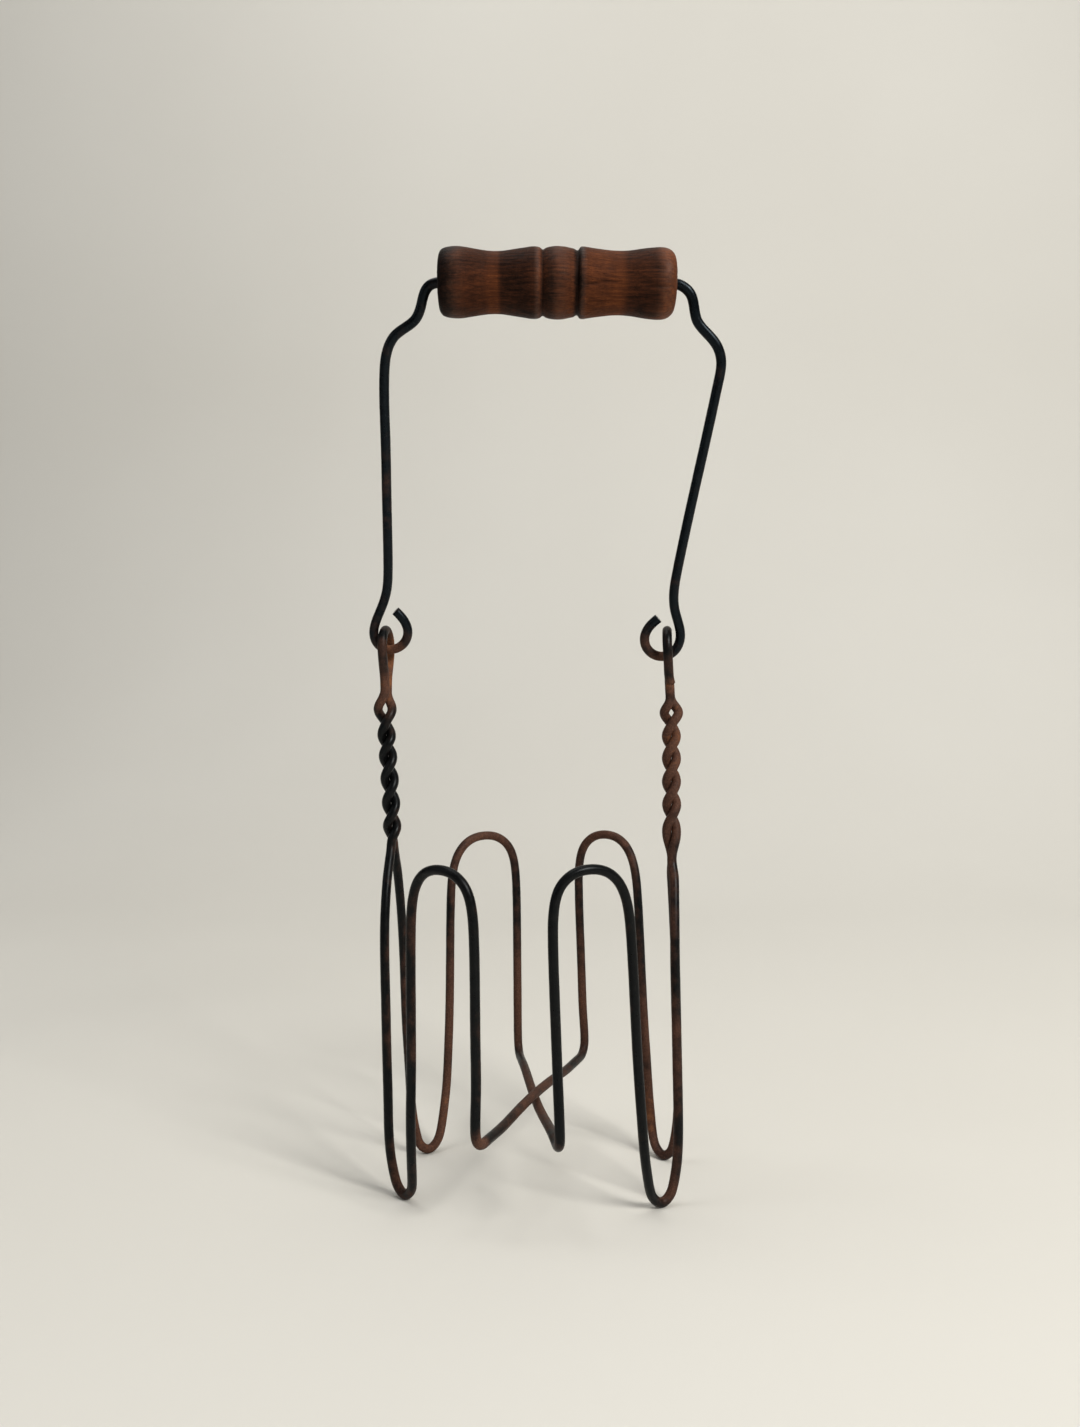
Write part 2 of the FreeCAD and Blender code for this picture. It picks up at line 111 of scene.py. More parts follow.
# turns: (z, half turns left up to the eye); axis: (z, distance from the middle plane)
# low: foot of the twist; loose_from: where it starts to open, up to eye_base
STEMS = {
    LEFT: dict(
        turns=[(104.0, 6.0), (108.4, 6.0), (117.1, 5.0), (124.9, 4.0), (132.6, 3.0),
               (139.8, 2.0), (147.0, 1.0), (158.4, 0.0), (162.0, 0.0)],
        axis=[(104.0, 45.45), (113.2, 45.35), (121.0, 45.5), (128.8, 45.75),
              (136.3, 46.1), (143.5, 46.4), (152.5, 46.7), (158.4, 46.2)],
        low=108.4, loose_from=147.0, eye_base=158.4, eye_top=177.85, eye_top_x=45.8),
    RIGHT: dict(
        turns=[(101.0, 6.0), (103.0, 6.0), (111.6, 5.5), (116.3, 5.0), (123.8, 4.0),
               (131.1, 3.0), (138.4, 2.0), (145.3, 1.0), (154.4, 0.0), (158.0, 0.0)],
        axis=[(98.0, 44.75), (112.5, 44.85), (120.0, 45.05), (127.3, 45.15),
              (134.9, 45.3), (141.8, 45.4), (150.0, 45.55), (154.4, 45.3)],
        low=103.0, loose_from=145.3, eye_base=154.4, eye_top=175.0, eye_top_x=44.75),
}

# (share of the eye's height, distance in y from the stem's axis)
EYE_PROFILE = [(0.0, STRAND_OFFSET), (0.07, STRAND_OFFSET + 0.03), (0.17, STRAND_OFFSET + 0.25),
               (0.30, 2.6), (0.44, 3.75), (0.58, 4.65), (0.70, EYE_HALF), (0.80, 4.75),
               (0.89, 3.9), (0.96, 2.45)]

# Outer legs: (x, x taken off at the back and added at the front, y, z)
LEGS = {
    LEFT: [(45.5, 0.0, 3.4, 104.2), (45.6, 0.0, 5.9, 99.8), (45.7, 0.0, 8.4, 93.5),
           (45.75, 0.0, 10.6, 85.0), (45.7, 0.0, 12.0, 74.0), (45.6, 0.0, 12.5, 60.0),
           (45.5, 0.0, 13.1, 44.0), (45.2, 0.0, 14.1, 30.0)],
    RIGHT: [(44.9, 0.35, 3.2, 98.9), (45.0, 0.4, 5.5, 94.4), (45.05, 0.3, 7.9, 88.4),
            (45.1, 0.15, 10.3, 80.0), (45.15, 0.0, 11.9, 69.5), (45.2, 0.0, 12.6, 57.0),
            (45.2, 0.0, 13.2, 43.0), (45.2, 0.0, 14.1, 30.0)],
}
# The U-shaped foot, from outer to inner leg: (x, y, z)
FOOT = [(45.0, 14.9, 19.5), (44.35, 15.3, 11.8), (43.35, 15.5, 6.4), (42.3, 15.9, 3.4),
        (39.85, 17.4, 1.5), (37.4, 19.4, 3.4), (36.35, 21.4, 6.8), (35.75, 23.8, 12.2),
        (35.2, 26.2, 19.0)]
# Up, over the arch and down, on an upright cylinder: (degrees from the x axis, z)
RING_RADIUS = 44.5
ARCH = [(38.7, 28.0), (40.0, 41.0), (41.1, 57.0), (41.9, 73.0), (42.8, 86.0), (44.6, 95.4),
        (48.2, 101.2), (53.7, 104.7), (60.5, 105.9), (67.2, 104.9), (72.0, 101.6), (74.6, 95.6),
        (75.3, 87.0), (75.2, 72.0), (74.9, 56.0), (74.6, 42.0)]
# The bend from the inner leg into the cross wire: (x, y, z)
INTO_CROSS = [(12.05, 43.75, 33.0), (11.9, 43.2, 29.4), (11.3, 41.0, 27.3), (10.1, 36.6, 26.7)]

# Cross wires pass over and under each other at the middle
CROSS_END_Z, CROSS_HIGH, CROSS_LOW = 26.6, 27.9, 24.5
CROSS_REACH = 0.62        # listed part, as a share of CROSS_HALF
CROSS_HALF = (12.1, 43.9)

# Cut ends of the cage wire, meeting in the front of the right eye
CUT_Z, CUT_GAP = 158.0, 0.35


def strand(side, depth):
    """One strand of a twisted stem, from the bottom up."""
    stem = STEMS[side]
    low, loose, high = stem["low"], stem["loose_from"], stem["eye_base"]
    out = []
    n = int(round((high - low) / STRAND_STEP))
    for i in range(n + 1):
        z = low + (high - low) * i / n
        angle = depth * 0.5 * math.pi + math.pi * (6.0 - lookup(stem["turns"], z))
        r = STRAND_OFFSET
        if loose < z < high:
            opening = math.sin(math.pi * (z - loose) / (high - loose)) ** 2
            r += (LOOSE_OFFSET - STRAND_OFFSET) * opening
        x = side * lookup(stem["axis"], z)
        out.append((x + r * math.cos(angle), r * math.sin(angle), z))
    return out


def eye_x(stem, share):
    """Distance of an eye's middle from x = 0; it stops shifting at 0.8 of the height."""
    base = stem["axis"][-1][1]
    return base + (stem["eye_top_x"] - base) * min(1.0, share * 1.25)


def eye(side):
    """Eye loop from the front strand over the top to the back strand."""
    stem = STEMS[side]
    height = stem["eye_top"] - stem["eye_base"]
    front = [(side * eye_x(stem, share), -y, stem["eye_base"] + share * height)
             for share, y in EYE_PROFILE]
    top = (side * stem["eye_top_x"], 0.0, stem["eye_top"])
    return front + [top] + [(x, -y, z) for x, y, z in reversed(front)]


def corner(side, depth):
    """Outer leg, foot, arch and inner leg of one corner, from stem to cross wire."""
    points = [(x - shift * depth, y, z) for x, shift, y, z in LEGS[side]] + FOOT
    for degrees, z in ARCH:
        a = math.radians(degrees)
        points.append((RING_RADIUS * math.cos(a), RING_RADIUS * math.sin(a), z))
    return [(side * x, depth * y, z) for x, y, z in points + INTO_CROSS]


def cross_wire(side, middle_z):
    """Cross wire from the opposite back corner to the front corner on this side."""
    out = []
    for k in (0.62, 0.34, 0.0, -0.34, -0.62):
        inward = 1.0 - abs(k) / CROSS_REACH
        blend = 0.5 - 0.5 * math.cos(math.pi * min(1.0, inward * 1.25))
        out.append((side * -k * CROSS_HALF[0], k * CROSS_HALF[1],
                    CROSS_END_Z + (middle_z - CROSS_END_Z) * blend))
    return out


def cage_path():
    """The whole cage wire from one cut end to the other."""
    right = STEMS[RIGHT]
    share = (CUT_Z - right["eye_base"]) / (right["eye_top"] - right["eye_base"])
    cut_x = eye_x(right, share)
    loop = eye(RIGHT)
    to_top = len(EYE_PROFILE) + 1
    path = [(cut_x + 0.35, -1.75, CUT_Z + CUT_GAP)]
    path += [p for p in loop[:to_top] if p[2] > CUT_Z + CUT_GAP + 0.6]
    path += loop[to_top:-1]
    path += reversed(strand(RIGHT, BACK))
    path += corner(RIGHT, BACK)
    path += cross_wire(LEFT, CROSS_HIGH)
    path += reversed(corner(LEFT, FRONT))
    path += strand(LEFT, FRONT)[:-1]
    path += eye(LEFT)[:-1]
    path += reversed(strand(LEFT, BACK))
    path += corner(LEFT, BACK)
    path += cross_wire(RIGHT, CROSS_LOW)
    path += reversed(corner(RIGHT, FRONT))
    path += strand(RIGHT, FRONT)
    path += [(45.24, -1.58, 156.2), (cut_x + 0.02, -1.62, CUT_Z)]
    return path


# ---- bail centre line -----------------------------------------------------
# The bail is listed flat: (x across, height up the arm from the hinge line).
HINGE_Z = 169.5           # at x = 0
HINGE_SLOPE = -0.048455
BAIL_LEAN = 17.0          # degrees forward at LEAN_X; the left arm leans more
BAIL_TWIST = 6.05         # degrees of lean lost per 100 mm to the right
LEAN_X = 12.0
GRIP_LEFT = (-18.19, 110.68)
GRIP_RIGHT = (49.19, 109.66)
# Shares of the straight run through the grip
GRIP_STATIONS = (0.0, 0.02, 0.07, 0.16, 0.3, 0.5, 0.7, 0.84, 0.93, 0.98, 1.0)

# Left hook and arm, from the wire's end to the grip
BAIL_LEFT = [
    (-41.29, 12.84), (-38.89, 9.67), (-38.05, 6.1), (-39.5, 2.39), (-42.68, 0.19),
    (-46.1, 0.02), (-48.62, 1.93), (-49.3, 5.24), (-48.0, 9.55), (-45.58, 14.28),
    (-43.44, 19.55), (-42.33, 25.52), (-41.35, 34.95), (-39.95, 50.42), (-38.44, 67.26),
    (-37.4, 79.96), (-36.55, 86.64), (-35.2, 92.04), (-32.45, 96.32), (-28.99, 98.63),
    (-26.08, 100.73), (-24.27, 103.72), (-23.06, 107.18), (-21.3, 109.72)]
# Right arm and hook, from the grip to the wire's end
BAIL_RIGHT = [
    (51.77, 108.7), (53.72, 106.63), (54.57, 103.33), (55.34, 99.66), (58.08, 96.16),
    (60.93, 92.72), (62.2, 88.56), (61.41, 82.71), (59.78, 75.68), (55.71, 58.55),
    (51.45, 40.71), (48.36, 27.0), (47.14, 20.01), (47.24, 14.81), (48.44, 9.83),
    (48.84, 5.99), (47.45, 2.05), (44.3, -0.26), (40.9, -0.12), (38.21, 2.31),
    (37.74, 5.76), (39.35, 9.09), (42.09, 11.65)]


def lean(x, up_arm):
    """Place a flat bail point."""
    a = math.radians(BAIL_LEAN - BAIL_TWIST * (x - LEAN_X) / 100.0)
    return (x, -up_arm * math.sin(a), HINGE_Z + HINGE_SLOPE * x + up_arm * math.cos(a))


def bail_path(start, end):
    """Left hook and arm, the straight run from start to end, right arm and hook."""
    inner = [tuple(a + (b - a) * q for a, b in zip(start, end)) for q in GRIP_STATIONS]
    return [lean(*p) for p in BAIL_LEFT] + inner + [lean(*p) for p in BAIL_RIGHT]


# ---- where the rust sits --------------------------------------------------
# Soft spots: (x, y, z, reach, amount)
CAGE_RUST = [
    # left eye: rusty back strand
    (-45.0, 4.0, 174.0, 6.0, 0.95), (-45.6, 3.5, 168.0, 6.0, 1.00),
    (-46.0, 1.6, 161.0, 5.5, 1.05), (-46.6, 1.0, 155.5, 4.2, 0.85),
    (-46.0, -4.9, 171.5, 3.6, 0.42), (-46.2, -3.4, 165.5, 4.0, 0.34),
    (-46.5, -1.8, 160.0, 4.6, 0.74), (-46.7, -1.2, 154.5, 4.0, 0.66),
    (-46.8, -2.2, 151.0, 2.4, 0.36), (-46.8, 2.2, 151.0, 2.6, 0.52),
    # right eye, stem and front outer leg
    (44.8, -1.0, 172.0, 5.0, 0.04), (45.4, -1.0, 163.5, 5.0, 0.30),
    (45.3, -2.0, 157.2, 2.6, 0.95), (45.3, 1.5, 158.0, 5.0, 0.50),
    (46.5, 0.0, 149.0, 7.0, 0.70), (46.8, 0.0, 141.0, 8.0, 0.76),
    (46.8, 0.0, 132.0, 8.0, 0.70), (46.6, 0.0, 122.0, 8.0, 0.62),
    (46.2, 0.0, 112.0, 8.0, 0.58), (45.6, 0.0, 104.0, 6.0, 0.44),
    (46.0, -5.0, 99.0, 9.0, 0.36), (45.6, -11.0, 80.0, 16.0, 0.25),
    (45.6, -13.0, 58.0, 18.0, 0.28), (45.6, -14.0, 36.0, 16.0, 0.34),
    (44.5, -15.5, 16.0, 10.0, 0.30), (42.5, -16.5, 4.5, 6.5, 0.50),
    # front left foot and front inner legs
    (-41.0, -16.6, 4.0, 7.0, 0.26), (-44.5, -15.5, 20.0, 12.0, 0.06),
    (-11.5, -42.0, 29.0, 4.0, 0.80), (11.5, -42.0, 29.0, 3.5, 0.30),
    (-34.5, -28.0, 60.0, 22.0, 0.20), (-34.0, -29.0, 90.0, 16.0, 0.24),
    (34.0, -29.0, 92.0, 14.0, 0.14), (-12.0, -43.0, 55.0, 20.0, 0.16),
    # back feet, legs and arches, and the crossing
    (-39.0, 18.0, 4.0, 14.0, 0.48), (-36.0, 24.0, 16.0, 14.0, 0.56),
    (-44.0, 15.0, 14.0, 12.0, 0.46), (-45.5, 12.5, 50.0, 22.0, 0.20),
    (36.0, 23.5, 14.0, 15.0, 0.72), (39.5, 18.0, 3.0, 7.0, 0.35),
    (44.6, 15.2, 12.0, 12.0, 0.42), (34.6, 28.0, 40.0, 20.0, 0.45),
    (-34.6, 28.0, 44.0, 22.0, 0.50), (11.8, 43.0, 45.0, 18.0, 0.50),
    (-11.8, 43.0, 45.0, 18.0, 0.45), (0.0, 0.0, 26.0, 26.0, 0.55),
    (22.0, 38.0, 104.0, 16.0, 0.40), (-22.0, 38.0, 104.0, 16.0, 0.40),
]
BAIL_RUST = [
    (-43.5, 0.0, 171.5, 4.5, 0.72), (-47.5, 0.0, 172.5, 3.5, 0.30),
    (-39.2, 0.0, 176.0, 5.0, 0.26), (42.6, 0.0, 167.0, 4.5, 0.66),
    (38.6, 0.0, 172.0, 5.5, 0.40), (47.6, 0.0, 170.0, 3.5, 0.30),
    (-44.5, 0.0, 190.0, 10.0, 0.22), (-44.4, 0.0, 225.0, 26.0, 0.14),
    (50.0, 0.0, 205.0, 24.0, 0.10), (-44.4, 0.0, 250.0, 12.0, 0.18),
    (-28.0, 0.0, 287.6, 3.5, 0.20), (51.5, 0.0, 282.4, 3.0, 0.12),
]


def rust_amount(points, outward, spots, base, seed):
    """Rust at surface points, 0 to 1: the strongest spot, a base and a slow drift.
    Below z = 120 the side of the wire facing the cage's middle gets more."""
    amount = np.zeros(len(points))
    for x, y, z, reach, strength in spots:
        distance2 = ((points - np.array([x, y, z])) ** 2).sum(1)
        amount = np.maximum(amount, strength * np.exp(-distance2 / (reach * reach)))
    px, py, pz = points.T
    inward = -(outward[:, 0] * px + outward[:, 1] * py) / (np.hypot(px, py) + 1e-6)
    drift = np.array([noise.noise(Vector((x * 0.07 + seed, y * 0.07, z * 0.05)))
                      for x, y, z in points])
    amount = (np.minimum(amount, 1.0) + base + 0.16 * drift
              + 0.12 * np.clip(inward, -1, 1) * (pz < 120))
    return np.clip(amount, 0.0, 1.0)


# ---- meshes ---------------------------------------------------------------
def add_mesh(name, verts, faces, material):
    """A smooth-shaded object; verts in metres."""
    mesh = bpy.data.meshes.new(name)
    mesh.from_pydata(verts.tolist(), [], faces)
    mesh.polygons.foreach_set("use_smooth", [True] * len(mesh.polygons))
    obj = bpy.data.objects.new(name, mesh)
    bpy.context.scene.collection.objects.link(obj)
    mesh.materials.append(material)
    mesh.update()
    return obj


def float_attr(obj, name, values):
    attribute = obj.data.attributes.new(name, "FLOAT", "POINT")
    attribute.data.foreach_set("value", np.asarray(values, dtype=np.float32).ravel())


def vector_attr(obj, name, values):
    attribute = obj.data.attributes.new(name, "FLOAT_VECTOR", "POINT")
    attribute.data.foreach_set("vector", np.asarray(values, dtype=np.float32).ravel())


def band_faces(first, second, ring, flip=False):
    """Quads between two rings of vertices that start at the given indices."""
    faces = []
    for j in range(ring):
        k = (j + 1) % ring
        quad = (first + j, first + k, second + k, second + j)
        faces.append(quad[::-1] if flip else quad)
    return faces


def resample(points):
    """Ring centres and their distance along: dense in bends, sparser where straight."""
    sample_step = 0.12
    turn_per_ring = 0.09      # radians
    closest, widest = 0.35, 1.1
    path = spline(points, sample_step)
    gaps = np.linalg.norm(np.diff(path, axis=0), axis=1)
    path = path[np.r_[True, gaps > 1e-6]]
    gaps = np.linalg.norm(np.diff(path, axis=0), axis=1)
    s = np.r_[0.0, np.cumsum(gaps)]
    tangent = np.gradient(path, s, axis=0)
    curvature = np.linalg.norm(np.gradient(tangent, s, axis=0), axis=1)
    curvature = np.convolve(np.minimum(curvature, 0.5), np.ones(9) / 9, mode="same")
    spacing = np.clip(turn_per_ring / np.maximum(curvature, 1e-4), closest, widest)
    along = [0.0]
    while along[-1] < s[-1]:
        along.append(along[-1] + float(np.interp(along[-1], s, spacing)))
    along = np.array(along) * (s[-1] / along[-1])
    return np.stack([np.interp(along, s, path[:, i]) for i in range(3)], 1), along


def frames(centres):
    """Tangent and two normals at each ring, carried along without twisting."""
    tangents = np.gradient(centres, axis=0)
    tangents /= np.linalg.norm(tangents, axis=1)[:, None]
    normals = np.zeros_like(centres)
    normal = np.array([0.0, 1.0, 0.0])
    for i, tangent in enumerate(tangents):
        normal = normal - tangent * normal.dot(tangent)
        normal = normal / np.linalg.norm(normal)
        normals[i] = normal
    return tangents, normals, np.cross(tangents, normals)


def wire_relief(point, rust, seed):
    """Waviness of the wire's surface, and roughness that grows with rust."""
    v = Vector((point[0] + seed, point[1], point[2]))
    wave = noise.noise(v * 0.16) * 0.022 + noise.noise(v * 0.55) * 0.016
    grit = noise.noise(v * 1.5) * 0.6 + noise.noise(v * 3.1) * 0.4
    return wave + grit * (0.006 + 0.03 * rust)


# Rings of a wire's cut end: (share of radius, push outward, roughness, cut attribute)
CAP_RINGS = [(0.955, 0.07, 0.3, 0.4), (0.86, 0.115, 1.0, 1.0), (0.55, 0.13, 1.0, 1.0),
             (0.25, 0.12, 1.0, 1.0)]
CAP_CENTRE_PUSH = 0.12


def wire_object(name, points, material, spots, rust_base, rust_seed, ring, seed, cuts):
    """A drawn, hand-bent round wire along the points; cuts tilt its two end faces."""
    centres, s = resample(points)
    tangents, normals, sideways = frames(centres)
    n = len(centres)
    angles = np.arange(ring) * 2 * math.pi / ring
    cos, sin = np.cos(angles), np.sin(angles)
    turn = angles / (2 * math.pi)
    outward = (normals[:, None, :] * cos[None, :, None]
               + sideways[:, None, :] * sin[None, :, None])
    surface = (centres[:, None, :] + outward * WIRE_RADIUS).reshape(-1, 3)
    rust = rust_amount(surface, outward.reshape(-1, 3), spots, rust_base, rust_seed)
    relief = np.array([wire_relief(p, amount, seed) for p, amount in zip(surface, rust)])
    radius = WIRE_RADIUS - 0.012 + relief.reshape(n, ring)
    verts = centres[:, None, :] + outward * radius[:, :, None]
    # blocks of vertices with their values: (verts, along, around, cut, rust)
    blocks = [(verts.reshape(-1, 3), np.repeat(s, ring), np.tile(turn, n),
               np.zeros(n * ring), rust)]
    faces = []
    for i in range(n - 1):
        faces += band_faces(i * ring, (i + 1) * ring, ring)

    # ends: a small round, then a slightly rough sheared face
    count = n * ring
    for i, direction, cut in ((0, -tangents[0], cuts[0]), (n - 1, tangents[-1], cuts[1])):
        centre = centres[i]
        base = i * ring
        previous = base
        flip = i == 0
        for share, push, roughness, cut_value in CAP_RINGS:
            loop = []
            for j in range(ring):
                tilt = cut * (cos[j] * 0.5 + 0.5 * sin[j])
                spot = Vector((centre[0] + cos[j] * share * 2.0,
                               centre[1] + sin[j] * share * 2.0, centre[2]))
                rough = noise.noise(spot * 1.7) * 0.07 * roughness
                loop.append(centre + outward[i, j] * radius[i, j] * share
                            + direction * (push + rough + tilt * share * 0.6))
            blocks.append((np.array(loop), np.full(ring, s[i]), turn,
                           np.full(ring, cut_value), rust[base:base + ring]))
            faces += band_faces(previous, count, ring, flip)
            previous = count
            count += ring
        blocks.append(((centre + direction * CAP_CENTRE_PUSH)[None, :], s[i:i + 1],
                       np.zeros(1), np.ones(1), rust[base:base + 1]))
        for j in range(ring):
            face = (previous + j, previous + (j + 1) % ring, count)
            faces.append(face[::-1] if flip else face)
        count += 1

    verts, along, around, cut_face, rust = (np.concatenate(c) for c in zip(*blocks))
    obj = add_mesh(name, verts * MM, faces, material)
    float_attr(obj, "along", along)
    float_attr(obj, "around", around)
    float_attr(obj, "cut", cut_face)
    float_attr(obj, "rust", rust)
    # the wire as if straightened
    vector_attr(obj, "wirep", np.stack([np.cos(around * 2 * math.pi) * WIRE_RADIUS,
                                        np.sin(around * 2 * math.pi) * WIRE_RADIUS,
                                        along], 1))
    return obj


# ---- grip -----------------------------------------------------------------
# Turned outline: (distance from the left end, radius)
GRIP_PROFILE = [
    (0.00, 7.10), (0.10, 7.62), (0.38, 8.28), (0.80, 8.84), (1.50, 9.22), (2.50, 9.51),
    (4.2, 9.74), (5.2, 9.77), (6.0, 9.74), (7.7, 9.53), (9.4, 9.26), (11.1, 8.98),
    (12.9, 8.72), (14.6, 8.55), (16.0, 8.50), (18.0, 8.58), (19.8, 8.80), (21.5, 9.06),
    (23.2, 9.30), (24.9, 9.54), (26.5, 9.79), (27.5, 9.82), (28.3, 9.74), (28.9, 9.54),
    (29.35, 9.26), (29.62, 9.04), (29.84, 8.98), (30.08, 9.08), (30.45, 9.30), (31.0, 9.53),
    (31.8, 9.74), (33.0, 9.89), (34.1, 9.94), (35.3, 9.88), (36.3, 9.73), (37.2, 9.53),
    (38.2, 9.33), (38.75, 9.17), (39.10, 8.98), (39.34, 8.80), (39.66, 8.76), (39.94, 8.88),
    (40.18, 9.22), (40.46, 9.58), (40.9, 9.77), (41.5, 9.79), (42.2, 9.68), (43.9, 9.42),
    (45.6, 9.18), (47.4, 8.95), (49.1, 8.76), (50.8, 8.66), (52.0, 8.64), (54.3, 8.75),
    (56.0, 8.95), (57.7, 9.22), (59.4, 9.46), (61.2, 9.64), (62.9, 9.76), (64.0, 9.74),
    (65.2, 9.54), (66.1, 9.17), (66.8, 8.66), (67.3, 8.08), (67.64, 7.42), (67.85, 6.60)]
GRIP_LENGTH = GRIP_PROFILE[-1][0]
GRIP_RING = 240
FINE_AT = (0.0, 29.8, 39.6, GRIP_LENGTH)      # ends and grooves get closer rings
BORE_RADIUS = 1.85
# The bore's mouth, from inside out: (depth from the end, added radius)
BORE_MOUTH = [(6.0, 0.0), (2.0, 0.0), (0.55, 0.0), (0.16, 0.12), (0.02, 0.38)]
FACE_STEPS = 15
# Bands along the grip: (middle, spread, amount)
# painted shade: the grooves are darkened in the wood's colour
GROOVE_SHADE_BANDS = [(29.82, 0.32, 1.0), (39.62, 0.52, 1.0)]
# lighter bands: partly rubbed wear, partly painted highlight on the high bands and the ends
RUBBED_AND_HIGHLIGHT_BANDS = [(4.6, 2.4, 0.7), (28.3, 0.7, 1.0), (34.6, 2.2, 0.7), (41.2, 0.8, 1.0),
              (65.0, 2.2, 1.0), (1.0, 0.6, 0.2)]
# (along the grip, angle, half width, depth)
DENTS = [
    (4.6, 4.3, 0.8, 0.13), (8.3, 5.2, 0.7, 0.09), (27.2, 4.9, 0.7, 0.15),
    (28.2, 4.1, 0.45, 0.16), (33.6, 5.6, 0.6, 0.11), (37.0, 4.4, 0.5, 0.13),
    (40.9, 5.1, 0.5, 0.16), (42.8, 4.0, 0.8, 0.09), (63.0, 4.6, 0.9, 0.12),
    (65.9, 5.3, 0.6, 0.16), (64.8, 3.8, 0.6, 0.12), (24.4, 1.2, 1.0, 0.12),
    (59.6, 2.2, 0.8, 0.11), (2.6, 0.6, 0.6, 0.15), (66.2, 0.9, 0.7, 0.16),
    (13.4, 2.9, 1.2, 0.07), (53.0, 0.2, 1.2, 0.07), (35.1, 1.9, 0.6, 0.12)]
# Drying checks: (from, to along the grip, angle, half width, depth)
CHECKS = [
    (40.9, 47.5, 3.50, 0.24, 0.24), (44.5, 52.8, 3.44, 0.20, 0.20),
    (58.2, 66.9, 3.57, 0.25, 0.26), (31.0, 37.6, 3.20, 0.10, 0.10),
    (60.5, 64.6, 3.05, 0.18, 0.15), (17.8, 27.6, 3.92, 0.10, 0.09),
    (42.0, 50.0, 4.02, 0.10, 0.10), (3.0, 12.0, 3.30, 0.09, 0.07),
    (20.5, 26.8, 2.88, 0.10, 0.09), (55.0, 63.0, 0.90, 0.15, 0.16),
    (5.0, 14.0, 5.60, 0.13, 0.12), (42.0, 49.0, 1.60, 0.13, 0.14)]


def strongest_band(x, bands):
    return max(amount * math.exp(-((x - middle) / spread) ** 2)
               for middle, spread, amount in bands)


def arc(angle, middle, radius):
    """Distance round the grip from the middle angle, signed."""
    return ((angle - middle + math.pi) % (2 * math.pi) - math.pi) * radius


def grip_rows():
    """(x, radius, kind) from the left bore over the outside and into the right bore."""
    mouth = [(depth, BORE_RADIUS + flare, "end" if flare else "bore")
             for depth, flare in BORE_MOUTH]
    inner = mouth[-1][1]
    left_radius, right_radius = GRIP_PROFILE[0][1], GRIP_PROFILE[-1][1]
    rows = list(mouth)
    for k in range(1, FACE_STEPS):
        q = k / FACE_STEPS
        rows.append((-0.10 * math.sin(math.pi * q) - 0.02,
                     inner + (left_radius - inner) * q, "end"))
    x = 0.0
    while x < GRIP_LENGTH:
        rows.append((x, lookup(GRIP_PROFILE, x), "side"))
        near = min(abs(x - place) for place in FINE_AT)
        x += 0.10 if near < 1.2 else 0.22 if near < 3 else 0.36
    rows.append((GRIP_LENGTH, right_radius, "side"))
    for k in range(FACE_STEPS - 1, 0, -1):
        q = k / FACE_STEPS
        rows.append((GRIP_LENGTH + 0.28 * math.sin(math.pi * (q * 0.5 + 0.5)) + 0.02,
                     inner + (right_radius - inner) * q, "end"))
    return rows + [(GRIP_LENGTH - depth, r, kind) for depth, r, kind in reversed(mouth)]


def side_relief(x, r, angle, c, s):
    """Height of fibres, tool marks, dents and checks, and how far into a check it is."""
    relief = noise.noise(Vector((x * 0.10, c * 5.2, s * 5.2))) * 0.040
    relief += noise.noise(Vector((x * 0.22, c * 22.0, s * 22.0))) * 0.020
    relief += 0.010 * math.sin(x * 7.4 + 1.5 * noise.noise(Vector((x * 0.3, c, s))))
    for place, middle, width, depth in DENTS:
        q = ((x - place) / width) ** 2 + (arc(angle, middle, r) / (width * 1.5)) ** 2
        if q < 6.0:
            relief -= depth * math.exp(-q)
    crack = 0.0
    for start, end, middle, width, depth in CHECKS:
        if start < x < end:
            q = (x - start) / (end - start)
            wander = (0.035 * noise.noise(Vector((x * 0.45, middle, 0.0)))
                      + 0.05 * (q - 0.5) * math.sin(middle * 7.0))
            across = arc(angle, middle + wander, r) / (width * 1.5)
            k = math.sin(math.pi * q) ** 0.6 * math.exp(-across ** 2)
            relief -= depth * k
            crack = max(crack, k)
    return relief, crack


